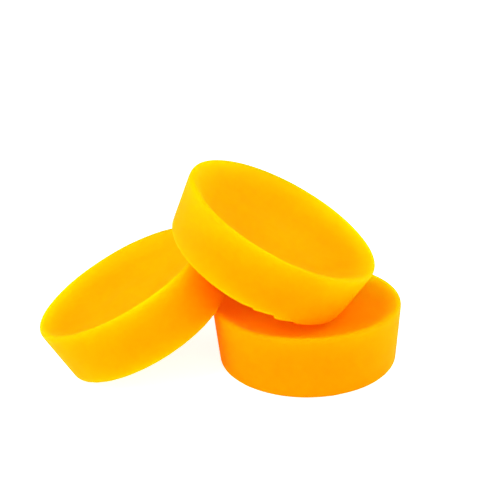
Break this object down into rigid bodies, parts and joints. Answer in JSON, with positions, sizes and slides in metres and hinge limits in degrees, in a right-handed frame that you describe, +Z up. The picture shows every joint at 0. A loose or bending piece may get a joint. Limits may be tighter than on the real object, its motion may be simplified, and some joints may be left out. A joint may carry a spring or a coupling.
{
  "type": "moulded beeswax cake set",
  "caption": "Round solid beeswax cakes with drafted walls and shallow dished tops, loosely piled for candle making.",
  "frame": {"origin": "centre of the base cake's foot, on the surface that the pile stands on", "axes": "+Z up along the base cake's axis; +X from the leaning cake towards the base cake, along the pile's length; +Y towards the back"},
  "size_m": [0.0983, 0.0549, 0.0539],
  "materials": {
    "beeswax": "satin"
  },
  "bodies": {
    "base": {"base_cake": "beeswax"},
    "leaning": {"leaning_cake": "beeswax"},
    "top": {"top_cake": "beeswax"}
  },
  "joints": [
    {"name": "top_lift", "type": "slide", "parent": "base", "child": "top", "axis": [0, 0, 1], "range_m": [0, 0.08]},
    {"name": "leaning_draw", "type": "slide", "parent": "base", "child": "leaning", "axis": [-1, 0, 0], "range_m": [0, 0.06]}
  ]
}
